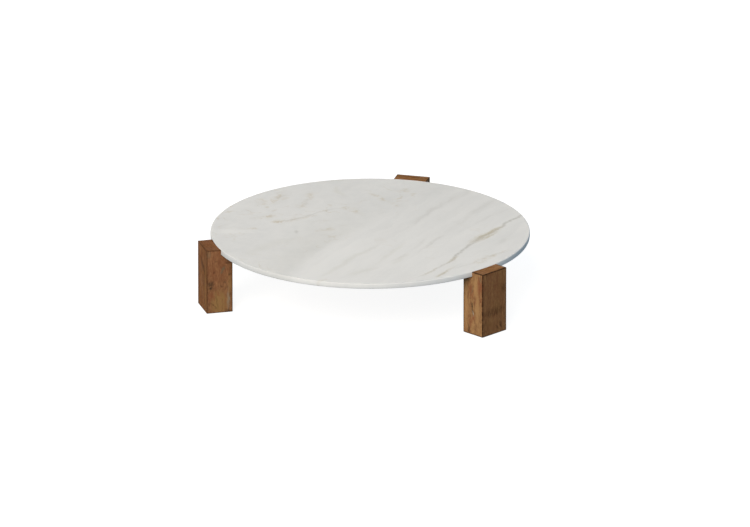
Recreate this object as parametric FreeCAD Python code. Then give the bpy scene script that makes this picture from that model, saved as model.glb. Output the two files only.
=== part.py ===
import FreeCAD, Part
import math
import os

# A round cocktail table: a stone disc let into three timber block legs.
# A bolted steel frame under the stone ties the legs together, and a levelling foot stands under each leg.
# Millimetres, +Z up, floor at z = 0, back leg on +Y, origin on the floor under the middle of the table's box.

# Stone top: a disc with a softly crowned edge between two small rounded arrises
top_diameter = 1524.0
top_thickness = 26.0
top_arris_radius = 4.0
top_crown_angle = 12.0

# Timber legs: blocks whose tops lie flush with the stone, notched on the inside to take its edge
table_height = 318.0
leg_depth = 128.0
leg_width = 162.0
leg_overhang = 67.0
leg_arris_radius = 2.0
leg_floor_gap = 2.5
leg_sides = ("back", "left", "right")
rim_gap = 1.0

# Cushion pads between the stone and what carries it
pad_thickness = 3.0
pad_diameter = 20.0
ledge_pad_spread = 100.0
arm_pad_shares = (0.15, 0.5, 0.85)

# Frame arms: rectangular steel tube, one to each leg, with a plug in the inner end
arm_width = 40.0
arm_height = 25.0
arm_wall = 2.0
arm_corner_radius = 4.0
arm_start_radius = 34.0
plug_flange = 2.0
plug_depth = 12.0
plug_clearance = 0.15

# End plates: welded to the arms and let into the inner faces of the legs
plate_thickness = 6.0
plate_height = 80.0
plate_wing = 30.0
plate_corner_radius = 6.0
plate_bolt_margin = 14.0
plate_recess_clearance = 0.5

# Hub plate: a steel disc under the inner ends of the arms
hub_thickness = 6.0
hub_hole_diameter = 30.0
hub_bolt_inset = 26.0
hub_bolt_pitch = 26.0
hub_edge_margin = 20.0

# Bolts, with heads, nuts, washers and threaded inserts in standard proportion to their diameter
bolt_diameter = 8.0
bolt_hole_clearance = 0.5
bolt_thread_clearance = 0.1
bolt_tip_past_nut = 2.0
bolt_tip_short = 3.0
insert_length = 30.0
head_flats_share = 1.625
head_height_share = 0.6625
nut_height_share = 0.8125
washer_diameter_share = 2.0
washer_thickness_share = 0.2
insert_diameter_share = 1.75
head_chamfer_share = 0.1

# Levelling feet: a nylon pad that swivels on the head of a steel stud, screwed into a socket in the leg
foot_pad_diameter = 44.0
foot_pad_height = 12.0
foot_pad_arris_radius = 1.5
foot_pad_floor = 5.0
foot_recess_clearance = 2.0
foot_top_clearance = 0.3
stud_diameter = 10.0
stud_length = 46.0
stud_head_diameter = 18.0
stud_head_height = 5.0
stud_tip_chamfer = 1.0
stud_clearance = 0.1
stud_key_flats = 6.0
stud_key_depth = 3.5
head_clearance = 0.2
ring_width = 2.0
ring_bore_clearance = 0.5
socket_diameter = 16.0
socket_length = 40.0
socket_flange_diameter = 26.0
socket_flange_thickness = 2.0
stud_room = 4.0

# How far a cutting shape runs past the face that it opens
overrun = 1.0

# Places worked out from the sizes above
up = FreeCAD.Vector(0, 0, 1)
outward = FreeCAD.Vector(0, 1, 0)
origin = FreeCAD.Vector(0, 0, 0)
top_radius = top_diameter / 2
notch_radius = top_radius + rim_gap
leg_outer = top_radius + leg_overhang
leg_inner = leg_outer - leg_depth
leg_middle = leg_inner + leg_depth / 2
leg_turns = [360 * k / len(leg_sides) for k in range(len(leg_sides))]
axis_y = (top_radius - leg_outer) / 2
stone_bottom = table_height - top_thickness
ledge_z = stone_bottom - pad_thickness
arm_bottom = ledge_z - arm_height
arm_length = leg_inner - arm_start_radius
plate_width = arm_width + 2 * plate_wing
plate_bottom = ledge_z - plate_height
recess_floor = leg_inner + plate_thickness
hub_bottom = arm_bottom - hub_thickness
hub_bolt_radii = [arm_start_radius + hub_bolt_inset + k * hub_bolt_pitch for k in range(2)]
hub_radius = hub_bolt_radii[-1] + hub_edge_margin
hexagon_reach_share = 1 / math.sqrt(3)
head_flats = bolt_diameter * head_flats_share
head_height = bolt_diameter * head_height_share
nut_height = bolt_diameter * nut_height_share
washer_radius = bolt_diameter * washer_diameter_share / 2
washer_thickness = bolt_diameter * washer_thickness_share
insert_radius = bolt_diameter * insert_diameter_share / 2
bolt_radius = bolt_diameter / 2
bolt_hole_radius = bolt_radius + bolt_hole_clearance
thread_radius = bolt_radius + bolt_thread_clearance
foot_recess_top = foot_pad_height + foot_top_clearance
stud_base = foot_pad_floor
stud_shoulder = stud_base + stud_head_height
stud_top = stud_shoulder + stud_length
ring_bottom = stud_shoulder + head_clearance
socket_top = foot_recess_top + socket_length


def rod(radius, length, start, direction=up):
    """A round bar from a start point along a direction."""
    return Part.makeCylinder(radius, length, start, direction)


def edges_along(shape, direction):
    """The straight edges of a shape that run along a direction."""
    found = []
    for edge in shape.Edges:
        run = edge.Vertexes[-1].Point.sub(edge.Vertexes[0].Point)
        if run.Length > 0 and run.cross(direction).Length < run.Length * 1e-6:
            found.append(edge)
    return found


def block(width, depth, height, corner, round_along=None, radius=0):
    """A box with its x middle on the axis, its corner at a (y, z) place, and rounded edges along one way."""
    y, z = corner
    shape = Part.makeBox(width, depth, height, FreeCAD.Vector(-width / 2, y, z))
    if round_along and radius > 0:
        shape = shape.makeFillet(radius, edges_along(shape, round_along))
    return shape


def hexagon(flats, height, start, direction=up):
    """A hexagonal prism of a given width across flats."""
    reach = flats * hexagon_reach_share
    turns = [math.radians(60 * k) for k in range(7)]
    points = [FreeCAD.Vector(reach * math.cos(t), reach * math.sin(t), 0) for t in turns]
    prism = Part.Face(Part.makePolygon(points)).extrude(up * height)
    prism.Placement = FreeCAD.Placement(start, FreeCAD.Rotation(up, direction))
    return prism


def bolt(length, seat, direction):
    """A hexagon bolt whose head bears at the seat and whose shank runs along the direction."""
    head_start = seat - direction * head_height
    round_edge = rod(head_flats * hexagon_reach_share, head_height, head_start, direction)
    rims = [e for e in round_edge.Edges if e.Closed and e.CenterOfMass.sub(head_start).Length < overrun]
    head = hexagon(head_flats, head_height, head_start, direction)
    head = head.common(round_edge.makeChamfer(head_flats * head_chamfer_share, rims))
    return head.fuse(rod(bolt_radius, length, seat, direction)).removeSplitter()


def washer(seat, direction):
    """A flat washer that lies on the seat and rises along the direction."""
    disc = rod(washer_radius, washer_thickness, seat, direction)
    hole = rod(bolt_hole_radius, washer_thickness, seat, direction)
    return disc.cut(hole)


def plate_bolt_places():
    """The (x, z) places of the four bolts in an end plate."""
    x = plate_width / 2 - plate_bolt_margin
    rows = (plate_bottom + plate_bolt_margin, ledge_z - plate_bolt_margin)
    return [(side * x, z) for side in (-1, 1) for z in rows]


def stone_top():
    """The disc: its edge is one wide arc between two small ones, tangent to each other and to the faces."""
    tilt = math.radians(top_crown_angle)
    half = top_thickness / 2
    crown = top_arris_radius + (half - top_arris_radius) / math.sin(tilt)
    arris_x = top_radius - crown + (crown - top_arris_radius) * math.cos(tilt)
    arris_z = half - top_arris_radius
    middle = stone_bottom + half

    def arris_point(angle, side):
        x = arris_x + top_arris_radius * math.cos(angle)
        return FreeCAD.Vector(x, 0, middle + side * (arris_z + top_arris_radius * math.sin(angle)))

    def arris(side):
        square = math.pi / 2
        angles = (square, (square + tilt) / 2, tilt)
        return [arris_point(angle, side) for angle in angles]

    upper, lower = arris(1), arris(-1)
    outermost = FreeCAD.Vector(top_radius, 0, middle)
    top_middle = FreeCAD.Vector(0, 0, table_height)
    bottom_middle = FreeCAD.Vector(0, 0, stone_bottom)
    edges = [
        Part.makeLine(top_middle, upper[0]),
        Part.Arc(*upper).toShape(),
        Part.Arc(upper[-1], outermost, lower[-1]).toShape(),
        Part.Arc(*reversed(lower)).toShape(),
        Part.makeLine(lower[0], bottom_middle),
        Part.makeLine(bottom_middle, top_middle),
    ]
    return Part.Face(Part.Wire(edges)).revolve(origin, up, 360)


def leg():
    """One block, notched for the stone, recessed for the end plate and bored for inserts and the foot."""
    shape = block(leg_width, leg_depth, table_height - leg_floor_gap, (leg_inner, leg_floor_gap))
    shape = shape.makeFillet(leg_arris_radius, shape.Edges)
    shape = shape.cut(rod(notch_radius, top_thickness + pad_thickness + overrun, up * ledge_z))
    shape = shape.cut(plate_recess())
    for x, z in plate_bolt_places():
        shape = shape.cut(rod(insert_radius, insert_length, FreeCAD.Vector(x, recess_floor, z), outward))
    return shape.cut(foot_bore())


def plate_recess():
    """The shallow seat for the end plate, open towards the middle of the table and at the ledge."""
    gap = plate_recess_clearance
    return block(
        plate_width + 2 * gap,
        plate_thickness + overrun,
        plate_height + gap + plate_corner_radius,
        (leg_inner - overrun, plate_bottom - gap),
        outward,
        plate_corner_radius,
    )


def foot_bore():
    """The stepped hole for the foot pad, the socket's flange, the socket and the end of the stud."""
    steps = [
        (foot_pad_diameter / 2 + foot_recess_clearance, leg_floor_gap - overrun, foot_recess_top),
        (socket_flange_diameter / 2, foot_recess_top, foot_recess_top + socket_flange_thickness),
        (socket_diameter / 2, foot_recess_top, socket_top),
        (stud_diameter / 2 + stud_clearance, socket_top, stud_top + stud_room),
    ]
    bores = [rod(radius, end - start, foot_point(start)) for radius, start, end in steps]
    return bores[0].multiFuse(bores[1:])


def foot_point(z):
    """A point on the foot's axis, under the middle of the leg."""
    return FreeCAD.Vector(0, leg_middle, z)


def arm():
    """Rectangular tube from the hub to the end plate, drilled below for the hub bolts."""
    inside = arm_width - 2 * arm_wall
    inside_height = arm_height - 2 * arm_wall
    bore_radius = arm_corner_radius - arm_wall
    tube_corner = (arm_start_radius, arm_bottom)
    bore_corner = (arm_start_radius, arm_bottom + arm_wall)
    tube = block(arm_width, arm_length, arm_height, tube_corner, outward, arm_corner_radius)
    bore = block(inside, arm_length, inside_height, bore_corner, outward, bore_radius)
    tube = tube.cut(bore)
    for y in hub_bolt_radii:
        tube = tube.cut(rod(bolt_hole_radius, arm_wall, FreeCAD.Vector(0, y, arm_bottom)))
    return tube


def arm_plug():
    """Plastic plug in the inner end of an arm: a cap and a neck that fits the tube."""
    cap_corner = (arm_start_radius - plug_flange, arm_bottom)
    cap = block(arm_width, plug_flange, arm_height, cap_corner, outward, arm_corner_radius)
    inset = arm_wall + plug_clearance
    neck_corner = (arm_start_radius, arm_bottom + inset)
    neck_radius = arm_corner_radius - inset
    neck_width = arm_width - 2 * inset
    neck_height = arm_height - 2 * inset
    neck = block(neck_width, plug_depth, neck_height, neck_corner, outward, neck_radius)
    return cap.fuse(neck)


def end_plate():
    """Steel plate flush with the inner face of the leg, its top level with the arm and the ledge."""
    corner = (leg_inner, plate_bottom)
    shape = block(plate_width, plate_thickness, plate_height, corner, outward, plate_corner_radius)
    for x, z in plate_bolt_places():
        shape = shape.cut(rod(bolt_hole_radius, plate_thickness, FreeCAD.Vector(x, leg_inner, z), outward))
    return shape


def leg_bolts():
    """The four bolts that draw an end plate into its leg."""
    length = washer_thickness + plate_thickness + insert_length - bolt_tip_short
    seat_y = leg_inner - washer_thickness
    return [bolt(length, FreeCAD.Vector(x, seat_y, z), outward) for x, z in plate_bolt_places()]


def leg_washers():
    """The washers under the heads of the leg bolts."""
    seat_y = leg_inner - washer_thickness
    return [washer(FreeCAD.Vector(x, seat_y, z), outward) for x, z in plate_bolt_places()]


def leg_inserts():
    """The threaded sleeves set in the timber behind an end plate."""
    sleeves = []
    for x, z in plate_bolt_places():
        seat = FreeCAD.Vector(x, recess_floor, z)
        bore = rod(thread_radius, insert_length, seat, outward)
        sleeves.append(rod(insert_radius, insert_length, seat, outward).cut(bore))
    return sleeves


def ledge_pads():
    """Two pads on the ledge of a leg, midway between the end plate and the notch wall."""
    y = (recess_floor + notch_radius) / 2
    places = [FreeCAD.Vector(side * ledge_pad_spread / 2, y, ledge_z) for side in (-1, 1)]
    return [rod(pad_diameter / 2, pad_thickness, place) for place in places]


def arm_pads():
    """A row of pads along the top of an arm."""
    places = [FreeCAD.Vector(0, arm_start_radius + share * arm_length, ledge_z) for share in arm_pad_shares]
    return [rod(pad_diameter / 2, pad_thickness, place) for place in places]


def hub_bolt_places(z):
    """Where the hub bolts cross a level, two under each arm."""
    places = []
    for turn in leg_turns:
        rotation = FreeCAD.Rotation(up, turn)
        places += [rotation.multVec(FreeCAD.Vector(0, y, z)) for y in hub_bolt_radii]
    return places


def hub_plate():
    """The disc that the three arms are bolted down to."""
    shape = rod(hub_radius, hub_thickness, up * hub_bottom)
    shape = shape.cut(rod(hub_hole_diameter / 2, hub_thickness, up * hub_bottom))
    for place in hub_bolt_places(hub_bottom):
        shape = shape.cut(rod(bolt_hole_radius, hub_thickness, place))
    return shape


def hub_bolts():
    """Bolts that rise through the hub plate and the floor of each arm."""
    length = washer_thickness + hub_thickness + arm_wall + nut_height + bolt_tip_past_nut
    return [bolt(length, place, up) for place in hub_bolt_places(hub_bottom - washer_thickness)]


def hub_washers():
    """The washers under the heads of the hub bolts."""
    return [washer(place, up) for place in hub_bolt_places(hub_bottom - washer_thickness)]


def hub_nuts():
    """Weld nuts on the floor of each arm."""
    nuts = []
    for place in hub_bolt_places(arm_bottom + arm_wall):
        nuts.append(hexagon(head_flats, nut_height, place).cut(rod(thread_radius, nut_height, place)))
    return nuts


def foot_socket():
    """The flanged threaded sleeve in the bottom of a leg."""
    sleeve = rod(socket_diameter / 2, socket_length, foot_point(foot_recess_top))
    flange = rod(socket_flange_diameter / 2, socket_flange_thickness, foot_point(foot_recess_top))
    bore = rod(stud_diameter / 2 + stud_clearance, socket_length, foot_point(foot_recess_top))
    return sleeve.fuse(flange).cut(bore)


def foot_stud():
    """The screw of a levelling foot, with a round head keyed for a hexagon wrench from below."""
    shank = rod(stud_diameter / 2, stud_length, foot_point(stud_shoulder))
    tips = [e for e in shank.Edges if e.Closed and e.CenterOfMass.z > stud_shoulder]
    shank = shank.makeChamfer(stud_tip_chamfer, tips)
    head = rod(stud_head_diameter / 2, stud_head_height, foot_point(stud_base))
    return head.fuse(shank).cut(hexagon(stud_key_flats, stud_key_depth, foot_point(stud_base)))


def foot_pad():
    """The nylon pad: a pocket for the stud's head, a mouth for the ring and a hole for the wrench."""
    shape = rod(foot_pad_diameter / 2, foot_pad_height, foot_point(0))
    shape = shape.makeFillet(foot_pad_arris_radius, [e for e in shape.Edges if len(e.Vertexes) == 1])
    pocket_radius = stud_head_diameter / 2 + head_clearance
    key_radius = stud_key_flats * hexagon_reach_share + head_clearance
    shape = shape.cut(rod(key_radius, foot_pad_floor, foot_point(0)))
    shape = shape.cut(rod(pocket_radius, foot_pad_height - foot_pad_floor, foot_point(foot_pad_floor)))
    return shape.cut(rod(pocket_radius + ring_width, foot_pad_height - ring_bottom, foot_point(ring_bottom)))


def foot_ring():
    """The ring pressed into the mouth of the pad that keeps the stud's head in its pocket."""
    radius = stud_head_diameter / 2 + head_clearance + ring_width
    height = foot_pad_height - ring_bottom
    bore = rod(stud_diameter / 2 + ring_bore_clearance, height, foot_point(ring_bottom))
    return rod(radius, height, foot_point(ring_bottom)).cut(bore)


def export(name, solids, turn=0.0):
    """Turns a piece or a group of like pieces to its leg, moves it onto the table's axis and writes it."""
    group = solids if isinstance(solids, list) else [solids]
    for solid in group:
        solid.rotate(origin, up, turn)
        solid.translate(outward * axis_y)
    shape = group[0] if len(group) == 1 else Part.makeCompound(group)
    shape.exportStep(f"parts/{name}.step")


os.makedirs("parts", exist_ok=True)

for make in (stone_top, hub_plate, hub_bolts, hub_washers, hub_nuts):
    export(make.__name__, make())

leg_pieces = (
    leg,
    arm,
    arm_plug,
    end_plate,
    leg_bolts,
    leg_washers,
    leg_inserts,
    ledge_pads,
    arm_pads,
    foot_socket,
    foot_stud,
    foot_pad,
    foot_ring,
)
for side, turn in zip(leg_sides, leg_turns):
    for make in leg_pieces:
        export(f"{make.__name__}_{side}", make(), turn)
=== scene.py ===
import math
from collections import namedtuple
from functools import reduce
from itertools import product

import bmesh
import bpy
from bpy.props import FloatProperty, FloatVectorProperty, PointerProperty
from mathutils import Matrix, Vector, noise


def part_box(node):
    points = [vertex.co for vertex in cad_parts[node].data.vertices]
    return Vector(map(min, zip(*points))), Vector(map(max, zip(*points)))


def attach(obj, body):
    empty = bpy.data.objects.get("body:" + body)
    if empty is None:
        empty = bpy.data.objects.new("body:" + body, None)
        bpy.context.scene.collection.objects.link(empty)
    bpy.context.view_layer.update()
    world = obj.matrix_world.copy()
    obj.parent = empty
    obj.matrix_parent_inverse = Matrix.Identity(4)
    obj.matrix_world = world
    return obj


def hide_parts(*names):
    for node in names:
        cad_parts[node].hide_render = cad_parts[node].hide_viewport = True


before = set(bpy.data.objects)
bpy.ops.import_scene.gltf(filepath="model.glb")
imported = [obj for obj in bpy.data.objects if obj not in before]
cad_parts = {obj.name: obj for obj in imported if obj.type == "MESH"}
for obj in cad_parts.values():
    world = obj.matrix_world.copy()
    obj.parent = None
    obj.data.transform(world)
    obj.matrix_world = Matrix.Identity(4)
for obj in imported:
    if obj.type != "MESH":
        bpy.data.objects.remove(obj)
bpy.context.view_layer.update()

bl_info = {
    "name": "Round Stone Table",
    "version": (1, 0, 0),
    "blender": (4, 5, 0),
    "location": "3D View > Sidebar > Round Table",
    "description": "Dresses a round table: a veined stone disc on three notched timber blocks",
    "category": "Object",
}

# The three legs, and what belongs to each of them, go by these names
SIDES = ("back", "left", "right")

# Places read from the frame, in metres
stone_low, stone_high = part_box("stone_top")
leg_low, leg_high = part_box("leg_back")
plate_low, plate_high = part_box("end_plate_back")
arm_low, arm_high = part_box("arm_back")
insert_low, insert_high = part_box("leg_inserts_back")
socket_low, socket_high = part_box("foot_socket_back")
pad_low, pad_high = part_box("foot_pad_back")
stud_low, stud_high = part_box("foot_stud_back")
table_axis = Vector((0, (stone_low.y + stone_high.y) / 2, 0))
table_top = stone_high.z
leg_centre = (leg_low + leg_high) / 2
leg_half = (leg_high - leg_low) / 2
ledge_z = arm_high.z

MILLIMETRE = 0.001
UP = Vector((0, 0, 1))
# How far a cutter reaches past the surface that it opens, in metres
OVERRUN = 0.004
# Faces that meet at less than these angles, in degrees, are shaded as one smooth surface
SMOOTH_BELOW = 35
THREAD_SMOOTH_BELOW = 40
# Edges of the frame's solids that turn by more than this, in degrees, are eased
EASED_ABOVE = 40
# How many points go round the disc, a foot's bore, an insert's hole and a levelling screw
DISC_SIDES = 288
BORE_SIDES = 64
HOLE_SIDES = 32
SCREW_SIDES = 30
# Swells per metre of the noise behind a block's bruised edges and uneven faces, a crack's wandering line
# and frayed sides, and a weld's lumps
BRUISE_SCALE = 40
WAVE_SCALE = 13
WANDER_SCALE = 260
FRAY_SCALE = 400
LUMP_SCALE = 300
WHITE = (1.0, 1.0, 1.0)


def shade(red, green, blue):
    """A colour in screen values, from 0 to 255, as the linear colour that the shaders work in."""
    parts = [value / 255 for value in (red, green, blue)]
    return tuple(((part + 0.055) / 1.055) ** 2.4 if part > 0.04045 else part / 12.92 for part in parts)


def length(label, about, default):
    """A size setting in metres."""
    return FloatProperty(name=label, description=about, default=default, min=0, unit="LENGTH", precision=5)


def angle(label, about, default):
    """An angle setting, given in degrees."""
    return FloatProperty(name=label, description=about, default=math.radians(default), subtype="ANGLE")


def share(label, about, default):
    """A setting from 0 to 1."""
    return FloatProperty(name=label, description=about, default=default, min=0, max=1, subtype="FACTOR")


def brightness(label, about, default):
    """A setting for how strongly a lamp shines."""
    return FloatProperty(name=label, description=about, default=default, min=0)


def colour(label, about, default):
    """A colour setting."""
    return FloatVectorProperty(name=label, description=about, default=default, min=0, max=1, subtype="COLOR")


class StoneSettings(bpy.types.PropertyGroup):
    """The stone disc."""

    diameter: length("Diameter", "Width of the disc", round(stone_high.x - stone_low.x, 3))
    arris: length("Arris", "Radius of the two small rounded edges", 0.004)
    crown: angle("Crown", "How far the flank leans away from upright at the arrises", 8)
    bedding: angle("Bedding", "Direction in which the clouds of the stone run, from +X", 77)
    light: colour("Light cloud", "The palest part of the ground", shade(218, 217, 213))
    dark: colour("Dark cloud", "The greyest part of the ground", shade(196, 196, 193))
    grey: colour("Grey vein", "The thin shadowy veins", shade(164, 161, 153))
    olive: colour("Olive streak", "Soft greenish streaks of both beds", shade(192, 190, 178))
    gold: colour("Gold stain", "The rusty blotches and fine threads", shade(178, 163, 131))
    rust: colour("Rust vein", "The stained stretches of the long vein", shade(166, 154, 122))
    backing: colour("Backing", "The resin on the sawn underside", shade(206, 182, 150))
    net_pitch: length("Net pitch", "Mesh of the net set in the resin of the underside", 0.006)


class TimberSettings(bpy.types.PropertyGroup):
    """The block legs."""

    arris: length("Arris", "Radius of the edges of a block", 0.002)
    step: length("Step", "Spacing of the points that carry the wear of a block", 0.004)
    wave: length("Wave", "Depth of the planed face's unevenness", 0.00015)
    wear: length("Wear", "Depth of the bruises along the edges", 0.0004)
    rim_gap: length("Rim gap", "Room between the stone's edge and the notch", 0.001)
    honey: colour("Honey", "Pale golden wood of the right and back legs", shade(171, 131, 87))
    brown: colour("Brown", "Plain brown wood of the left leg", shade(158, 113, 76))
    bark: colour("Bark", "Dark bands of the grain", shade(105, 71, 47))
    peat: colour("Peat", "Darker bands of the left leg's grain", shade(94, 62, 41))
    russet: colour("Russet", "Reddish heartwood", shade(132, 82, 55))
    straw: colour("Straw", "Olive-yellow wood", shade(147, 114, 69))
    ash: colour("Ash", "Weathered grey-green wood", shade(107, 98, 76))
    putty: colour("Putty", "Pale filler in a crack", shade(172, 161, 140))
    umber: colour("Umber", "Dark brown streaks and arrises", shade(58, 37, 22))
    # This colour also paints the shade on the back leg's x+ face beside the stone
    soot: colour("Soot", "Dark filler in knots and cracks", shade(50, 44, 35))


class FittingSettings(bpy.types.PropertyGroup):
    """The steel frame, fasteners, pads and feet."""

    coat: colour("Powder coat", "The frame's matte black coat", shade(34, 34, 36))
    zinc: colour("Zinc", "Bright zinc plate", shade(176, 178, 180))
    brass: colour("Brass", "Turned brass of inserts and sockets", shade(190, 152, 84))
    silicone: colour("Silicone", "Cushion pads under the stone", shade(142, 142, 138))
    plug: colour("Plug", "Moulded plugs in the arms", shade(30, 30, 31))
    nylon: colour("Nylon", "Moulded pads of the feet", shade(48, 43, 39))
    edge: length("Edge", "Width of the eased edges of fittings", 0.0004)
    bead: length("Bead", "Radius of the welds", 0.0027)
    ripple: length("Ripple", "Spacing of the ripples of a weld", 0.0026)
    thread_pitch: length("Thread pitch", "Rise of the levelling screws per turn", 0.0015)
    thread_depth: length("Thread depth", "Height of the levelling screws' thread", 0.00075)


class StageSettings(bpy.types.PropertyGroup):
    """Floor, light and camera."""

    azimuth: angle("Camera azimuth", "Turn of the camera to the right of the front", 14.6)
    elevation: angle("Camera elevation", "Height of the camera over the horizon", 19.4)
    view_width: length("View width", "Width that the picture takes in", 3.577)
    lens: FloatProperty(
        name="Lens",
        description="Focal length in millimetres",
        default=1000,
        subtype="DISTANCE_CAMERA",
    )
    shift_right: length("Shift right", "How far the view's centre lies to the right of the stone's", 0.0231)
    shift_down: length("Shift down", "How far the view's centre lies below the stone's", 0.1565)
    spread: angle("Spread", "Softness of the two lamps", 36)
    key_azimuth: angle("Key azimuth", "Direction from which the key light comes, from +X", 262.6)
    key_elevation: angle("Key elevation", "Height of the key light", 35.8)
    key_strength: brightness("Key strength", "Brightness of the key light", 3.39)
    key_tint: colour("Key tint", "Warmth of the key light", (1.0, 0.896, 0.789))
    fill_azimuth: angle("Fill azimuth", "Direction from which the fill light comes, from +X", 120)
    fill_elevation: angle("Fill elevation", "Height of the fill light", 11)
    fill_strength: brightness("Fill strength", "Brightness of the fill light", 1.7)
    fill_tint: colour("Fill tint", "Warmth of the fill light", (1.0, 0.8, 0.62))
    sky: colour("Sky", "Cool soft light from all round", (0.21, 0.305, 0.4))
    floor: colour("Floor", "Cool grey of the floor as it lights the table", (0.23, 0.31, 0.39))
    floor_shade: share("Floor shade", "How much the table's shadow shows on the floor", 0.25)
    floor_glow: share("Floor glow", "What lifts the floor to white in the picture", 0.9)
    floor_size: length("Floor size", "Width of the floor", 60)


def by_math(operation):
    """A method that puts a signal, and whatever else it is given, through a math node."""

    def method(signal, *others):
        return signal.board.node("ShaderNodeMath", dict(enumerate((signal, *others))), operation=operation)

    return method


class Signal:
    """A value that changes over a surface. Signals add, scale and compare like numbers."""

    __add__ = by_math("ADD")
    __sub__ = by_math("SUBTRACT")
    __mul__ = by_math("MULTIPLY")
    __truediv__ = by_math("DIVIDE")
    __abs__ = by_math("ABSOLUTE")
    larger = by_math("MAXIMUM")
    smaller = by_math("MINIMUM")
    fraction = by_math("FRACT")
    root = by_math("SQRT")

    def __init__(self, board, socket):
        self.board = board
        self.socket = socket

    def __neg__(self):
        return self * -1.0

    def rise(self, low, high, least=0.0, most=1.0):
        """Goes smoothly from least to most as the signal goes from low to high."""
        inputs = dict(enumerate((self, low, high, least, most)))
        return self.board.node("ShaderNodeMapRange", inputs, interpolation_type="SMOOTHSTEP")


class Board:
    """A node tree being wired. A number, place or colour may stand wherever a signal may."""

    def __init__(self, tree):
        self.tree = tree

    def feed(self, socket, value):
        """Links a signal to a socket, or sets the socket to a value."""
        if isinstance(value, Signal):
            self.tree.links.new(value.socket, socket)
        elif socket.type == "RGBA" and len(value) == 3:
            socket.default_value = (*value, 1.0)
        else:
            socket.default_value = value

    def add(self, kind, inputs, **choices):
        """A new node with its choices made and its inputs, by name or number, fed."""
        made = self.tree.nodes.new(kind)
        for key, value in choices.items():
            setattr(made, key, value)
        for key, value in inputs.items():
            self.feed(made.inputs[key], value)
        return made

    def node(self, kind, inputs, output=0, **choices):
        """One output of a new node as a signal."""
        return Signal(self, self.add(kind, inputs, **choices).outputs[output])

    def outputs(self, made, *names):
        """Some outputs of a node as signals."""
        return [Signal(self, made.outputs[name]) for name in names]

    def places(self):
        """The surface's own place and normal, in the piece's coordinates."""
        return self.outputs(self.add("ShaderNodeTexCoord", {}), "Object", "Normal")

    def split(self, place):
        """The x, y and z of a place."""
        return self.outputs(self.add("ShaderNodeSeparateXYZ", {0: place}), "X", "Y", "Z")

    def join(self, x, y, z):
        """A place from its x, y and z."""
        return self.node("ShaderNodeCombineXYZ", {0: x, 1: y, 2: z})

    def vector(self, operation, *places, output="Vector"):
        """Places put through a vector math node."""
        return self.node("ShaderNodeVectorMath", dict(enumerate(places)), output, operation=operation)

    def move(self, place, offset):
        """A place moved by an offset."""
        return self.vector("ADD", place, offset)

    def stretch(self, place, factors):
        """A place with its x, y and z scaled apart."""
        return self.vector("MULTIPLY", place, factors)

    def along(self, place, direction):
        """How far a place lies in a direction."""
        return self.vector("DOT_PRODUCT", place, direction, output="Value")

    def turn(self, place, about):
        """A place turned about the z axis by an angle in radians."""
        return self.node("ShaderNodeVectorRotate", {"Vector": place, "Angle": about}, rotation_type="Z_AXIS")

    def noise(self, place, scale, detail=2.0, roughness=0.5, output="Fac"):
        """Soft noise round 0.5. The scale is in swells per metre, one number or one each along x, y and z."""
        if isinstance(scale, tuple):
            place = self.stretch(place, scale)
            scale = 1.0
        inputs = {"Vector": place, "Scale": scale, "Detail": detail, "Roughness": roughness}
        return self.node("ShaderNodeTexNoise", inputs, output)

    def shake(self, place, scale, reach, detail, roughness):
        """A place moved about by noise, by up to half a reach along x, y and z."""
        drift = self.noise(place, scale, detail, roughness, "Color")
        return self.move(place, self.stretch(self.move(drift, (-0.5, -0.5, -0.5)), reach))

    def mix(self, factor, first, second, **choices):
        """A colour between two colours."""
        return self.node("ShaderNodeMix", {0: factor, 6: first, 7: second}, 2, data_type="RGBA", **choices)

    def curve(self, value, points):
        """A smooth curve through (from 0 to 1, from 0 to 1) points, level beyond its ends."""
        made = self.add("ShaderNodeFloatCurve", {"Value": value})
        made.mapping.extend = "HORIZONTAL"
        line = made.mapping.curves[0].points
        for x, y in points[1:-1]:
            line.new(x, y)
        for point, (x, y) in zip(line, points):
            point.location = (x, y)
        made.mapping.update()
        return Signal(self, made.outputs[0])

    def use(self, group, **inputs):
        """Places a shared group and returns its outputs by name."""
        made = self.add("ShaderNodeGroup", inputs, node_tree=group)
        return {output.name: Signal(self, output) for output in made.outputs}


def shared_group(name, inputs, outputs, wire):
    """Builds a node group the first time that a finish asks for it."""
    if name in bpy.data.node_groups:
        return bpy.data.node_groups[name]
    tree = bpy.data.node_groups.new(name, "ShaderNodeTree")
    for in_out, sockets in (("INPUT", inputs), ("OUTPUT", outputs)):
        for label, kind in sockets.items():
            tree.interface.new_socket(name=label, in_out=in_out, socket_type="NodeSocket" + kind)
    board = Board(tree)
    source = board.add("NodeGroupInput", {})
    sink = board.add("NodeGroupOutput", {})
    for label, signal in zip(outputs, wire(board, *board.outputs(source, *inputs))):
        board.feed(sink.inputs[label], signal)
    return tree


def shake_group():
    """Places moved about by noise, so that the lines drawn on them wander."""

    def wire(board, place, scale, reach):
        return (board.shake(place, scale, reach, 4.0, 0.62),)

    inputs = {"Place": "Vector", "Scale": "Float", "Reach": "Vector"}
    return shared_group("Shake", inputs, {"Place": "Vector"}, wire)


def speckle_group():
    """Fine grain and broad smudges for moulded, plated, coated and honed surfaces."""

    def wire(board, place, fine, broad):
        grain = board.noise(place, fine, 3.0, 0.6)
        smudge = board.noise(place, broad, 3.0, 0.55)
        return grain, smudge.rise(0.35, 0.7)

    inputs = {"Place": "Vector", "Fine": "Float", "Broad": "Float"}
    return shared_group("Speckle", inputs, {"Grain": "Float", "Smudge": "Float"}, wire)


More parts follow.
